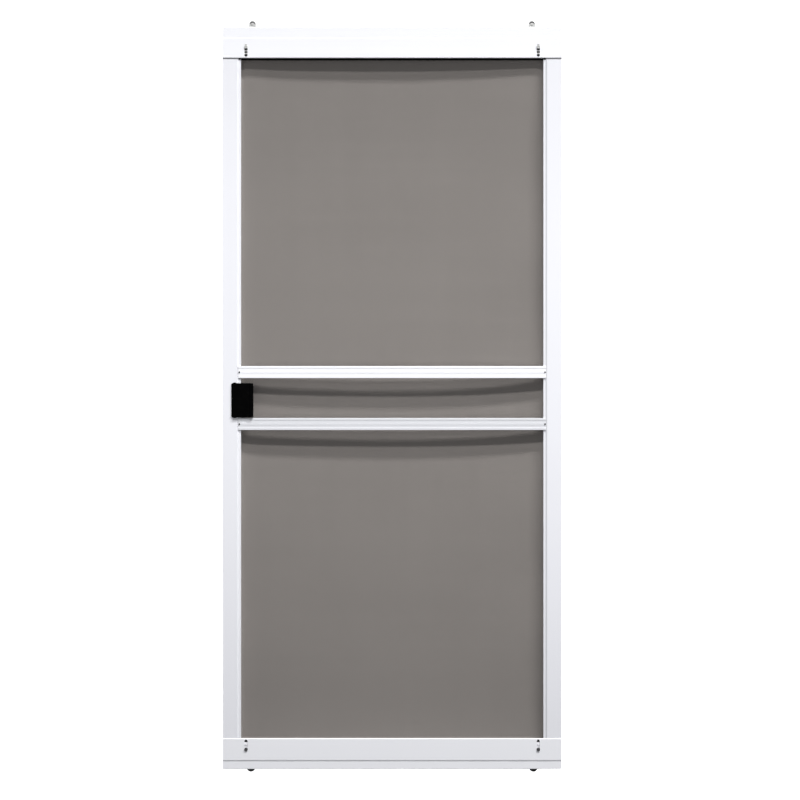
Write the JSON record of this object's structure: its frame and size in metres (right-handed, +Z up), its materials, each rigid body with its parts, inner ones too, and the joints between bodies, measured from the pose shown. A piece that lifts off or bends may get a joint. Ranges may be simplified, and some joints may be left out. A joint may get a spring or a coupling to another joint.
{
  "type": "sliding screen door",
  "caption": "Sliding patio screen door: white steel frame with channel rails, crossbars over an insect screen, cup handle, and rollers adjusted through slots.",
  "frame": {"origin": "middle of the bottom rail's underside, half way through the leaf's depth", "axes": "+X across the door to the right as seen from the front, +Y from the front face to the back, +Z up"},
  "size_m": [0.914, 0.041, 2.0255],
  "materials": {
    "white_paint": "satin white baked paint on steel",
    "screen_mesh": "grey coated glass-fibre mesh",
    "spline_rubber": "dark grey spline",
    "black_plastic": "moulded, fine grain",
    "zinc_steel": "zinc plated",
    "grey_nylon": "moulded nylon",
    "black_nylon": "moulded nylon"
  },
  "bodies": {
    "frame": {"left_stile": "white_paint", "right_stile": "white_paint", "top_rail": "white_paint", "bottom_rail": "white_paint", "head_rail": "white_paint", "foot_rail": "white_paint", "upper_crossbar": "white_paint", "lower_crossbar": "white_paint", "insect_screen": "screen_mesh", "left_spline": "spline_rubber", "right_spline": "spline_rubber", "top_spline": "spline_rubber", "bottom_spline": "spline_rubber", "front_handle_plate": "black_plastic", "front_handle_pull": "black_plastic", "rear_handle_plate": "black_plastic", "rear_handle_pull": "black_plastic", "latch_case": "zinc_steel", "latch_hook": "zinc_steel"},
    "carrier_top_left": {"roller_carrier_top_left": "zinc_steel", "roller_axle_top_left": "zinc_steel", "adjusting_screw_top_left": "zinc_steel"},
    "wheel_top_left": {"roller_wheel_top_left": "grey_nylon"},
    "carrier_top_right": {"roller_carrier_top_right": "zinc_steel", "roller_axle_top_right": "zinc_steel", "adjusting_screw_top_right": "zinc_steel"},
    "wheel_top_right": {"roller_wheel_top_right": "grey_nylon"},
    "carrier_bottom_left": {"roller_carrier_bottom_left": "zinc_steel", "roller_axle_bottom_left": "zinc_steel", "adjusting_screw_bottom_left": "zinc_steel"},
    "wheel_bottom_left": {"roller_wheel_bottom_left": "black_nylon"},
    "carrier_bottom_right": {"roller_carrier_bottom_right": "zinc_steel", "roller_axle_bottom_right": "zinc_steel", "adjusting_screw_bottom_right": "zinc_steel"},
    "wheel_bottom_right": {"roller_wheel_bottom_right": "black_nylon"}
  },
  "joints": [
    {"name": "carrier_slide_top_left", "type": "slide", "parent": "frame", "child": "carrier_top_left", "axis": [0, 0, -1], "range_m": [-0.003, 0.005]},
    {"name": "wheel_spin_top_left", "type": "hinge", "parent": "carrier_top_left", "child": "wheel_top_left", "pos_m": [-0.377, 0, 2.009], "axis": [0, 1, 0], "continuous": true},
    {"name": "carrier_slide_top_right", "type": "slide", "parent": "frame", "child": "carrier_top_right", "axis": [0, 0, -1], "range_m": [-0.003, 0.005]},
    {"name": "wheel_spin_top_right", "type": "hinge", "parent": "carrier_top_right", "child": "wheel_top_right", "pos_m": [0.377, 0, 2.009], "axis": [0, 1, 0], "continuous": true},
    {"name": "carrier_slide_bottom_left", "type": "slide", "parent": "frame", "child": "carrier_bottom_left", "axis": [0, 0, 1], "range_m": [-0.003, 0.004]},
    {"name": "wheel_spin_bottom_left", "type": "hinge", "parent": "carrier_bottom_left", "child": "wheel_bottom_left", "pos_m": [-0.381, 0, 0.004], "axis": [0, 1, 0], "continuous": true},
    {"name": "carrier_slide_bottom_right", "type": "slide", "parent": "frame", "child": "carrier_bottom_right", "axis": [0, 0, 1], "range_m": [-0.003, 0.004]},
    {"name": "wheel_spin_bottom_right", "type": "hinge", "parent": "carrier_bottom_right", "child": "wheel_bottom_right", "pos_m": [0.381, 0, 0.004], "axis": [0, 1, 0], "continuous": true}
  ]
}
